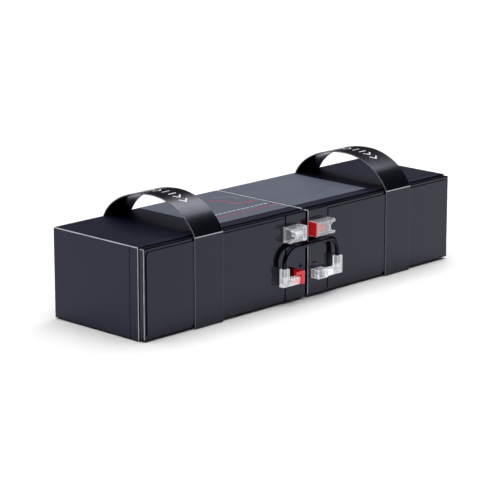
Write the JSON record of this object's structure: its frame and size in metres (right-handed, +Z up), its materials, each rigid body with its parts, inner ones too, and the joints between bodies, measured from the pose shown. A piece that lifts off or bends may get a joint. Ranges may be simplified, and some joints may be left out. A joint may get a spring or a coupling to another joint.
{
  "type": "ups battery cartridge",
  "caption": "Long flat battery cartridge of two black modules end to end, with arched pull straps, clear sockets on the front and a short jumper cable between the modules.",
  "frame": {"origin": "bottom centre of the whole cartridge, on the undersides of the two straps", "axes": "+X along the length, -Y to the connectors, +Z up"},
  "size_m": [0.392, 0.121, 0.1078],
  "materials": {
    "case_plastic": "moulded ABS, fine satin grain",
    "panel_plastic": "moulded ABS, fine satin grain",
    "plate_plastic": "satin sheet",
    "film": "glossy printed film",
    "strap": "smooth flat strap, slight sheen",
    "block_plastic": "moulded ABS",
    "terminal_lead": "cast lead, dull",
    "foam": "closed-cell foam",
    "copper_strip": "rolled copper",
    "tinned_contact": "tin-plated copper",
    "red_plastic": "moulded polycarbonate",
    "clear_plastic": "clear moulded polycarbonate",
    "cable_jacket": "smooth flexible PVC",
    "copper_core": "stranded copper"
  },
  "bodies": {
    "root": {"base_pad_left": "foam", "base_pad_right": "foam", "battery_block_left_inner": "block_plastic", "battery_block_left_outer": "block_plastic", "battery_block_right_inner": "block_plastic", "battery_block_right_outer": "block_plastic", "crimp_terminal_left": "tinned_contact", "crimp_terminal_right": "tinned_contact", "divider_pad_left": "foam", "divider_pad_right": "foam", "front_cap_left": "case_plastic", "front_cap_right": "case_plastic", "front_panel_left": "panel_plastic", "front_panel_right": "panel_plastic", "front_plate_left": "plate_plastic", "front_plate_right": "plate_plastic", "inner_pad_left": "foam", "inner_pad_right": "foam", "jumper_core": "copper_core", "jumper_jacket": "cable_jacket", "link_left": "copper_strip", "link_right": "copper_strip", "lower_base_left": "red_plastic", "lower_base_right": "clear_plastic", "lower_contact_left": "tinned_contact", "lower_contact_right": "tinned_contact", "lower_lead_left": "copper_strip", "lower_lead_right": "copper_strip", "outer_pad_left": "foam", "outer_pad_right": "foam", "plug_left": "clear_plastic", "plug_right": "clear_plastic", "rear_case_left": "case_plastic", "rear_case_right": "case_plastic", "shroud_left": "clear_plastic", "shroud_right": "clear_plastic", "strap_left": "strap", "strap_right": "strap", "terminal_left_inner_far": "terminal_lead", "terminal_left_inner_near": "terminal_lead", "terminal_left_outer_far": "terminal_lead", "terminal_left_outer_near": "terminal_lead", "terminal_right_inner_far": "terminal_lead", "terminal_right_inner_near": "terminal_lead", "terminal_right_outer_far": "terminal_lead", "terminal_right_outer_near": "terminal_lead", "top_film_left": "film", "top_film_right": "film", "top_pad_left": "foam", "top_pad_right": "foam", "upper_contact_left": "tinned_contact", "upper_contact_right": "tinned_contact", "upper_insert_left": "clear_plastic", "upper_insert_right": "red_plastic", "upper_lead_left": "copper_strip", "upper_lead_right": "copper_strip"}
  },
  "joints": []
}
